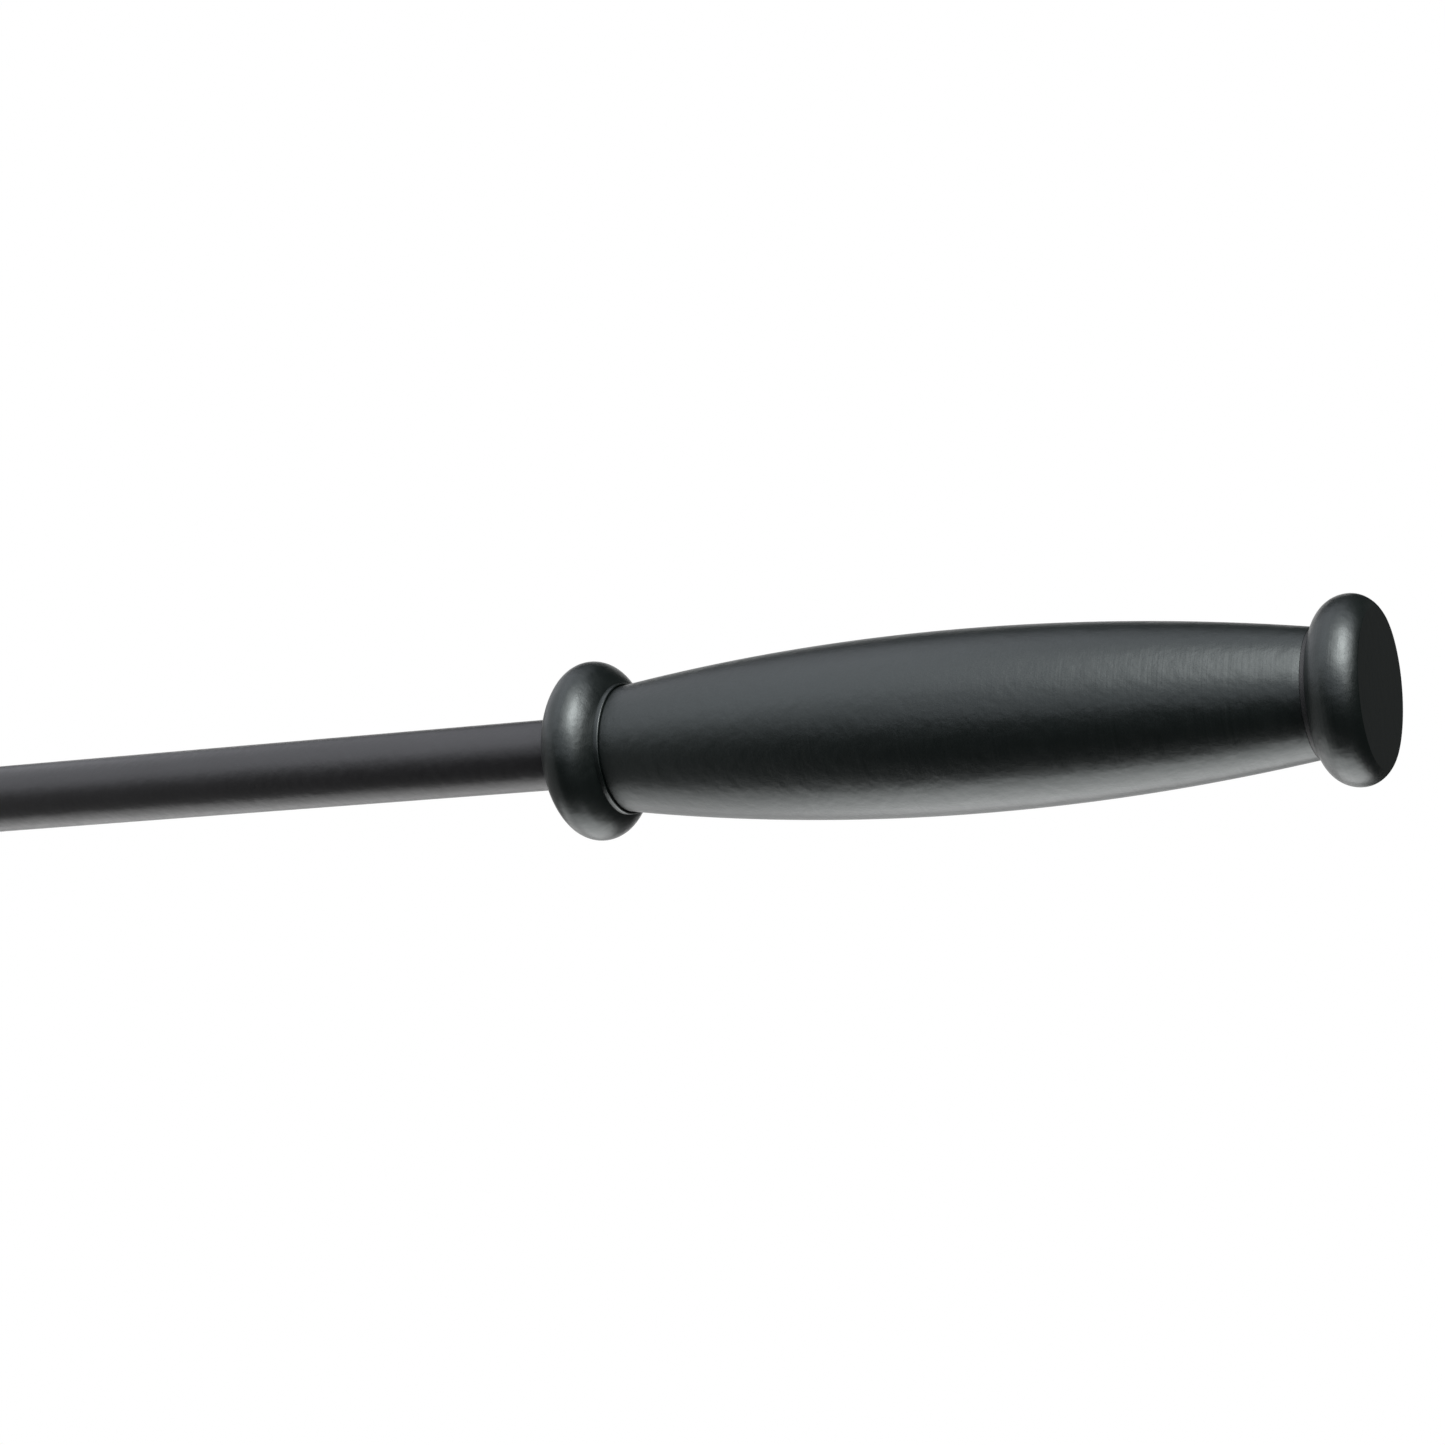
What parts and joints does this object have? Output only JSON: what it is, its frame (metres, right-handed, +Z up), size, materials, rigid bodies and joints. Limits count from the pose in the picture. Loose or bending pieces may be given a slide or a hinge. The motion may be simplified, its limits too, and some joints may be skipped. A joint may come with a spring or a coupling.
{
  "type": "knife sharpening steel",
  "caption": "Knife sharpening steel: a smooth dark round rod in a barrel-shaped black turned metal handle, with a rounded guard in front and a flat-ended pommel behind.",
  "frame": {"origin": "centre of the guard's front face, where the rod leaves the handle", "axes": "+X along the tool's axis from the guard to the pommel, so the rod points along -X; +Z up"},
  "size_m": [0.4045, 0.0326, 0.0326],
  "materials": {
    "rod_ceramic": "matt, ground",
    "black_anodised": "satin, turned and anodised",
    "tool_steel": "machined",
    "black_rubber": "matt",
    "cured_adhesive": "cured epoxy"
  },
  "bodies": {
    "root": {"sharpening_rod": "rod_ceramic", "tip_cap": "black_rubber", "rod_socket": "tool_steel", "rod_seal": "black_rubber", "bond_sleeve": "cured_adhesive", "shock_pad": "black_rubber", "guard_ring": "black_anodised", "guard_seal": "black_rubber", "grip_barrel": "black_anodised", "pommel_seal": "black_rubber", "pommel_knob": "black_anodised", "pommel_insert": "tool_steel", "tie_rod": "tool_steel", "clamp_washer": "tool_steel", "lock_washer": "tool_steel", "clamp_nut": "tool_steel"}
  },
  "joints": []
}
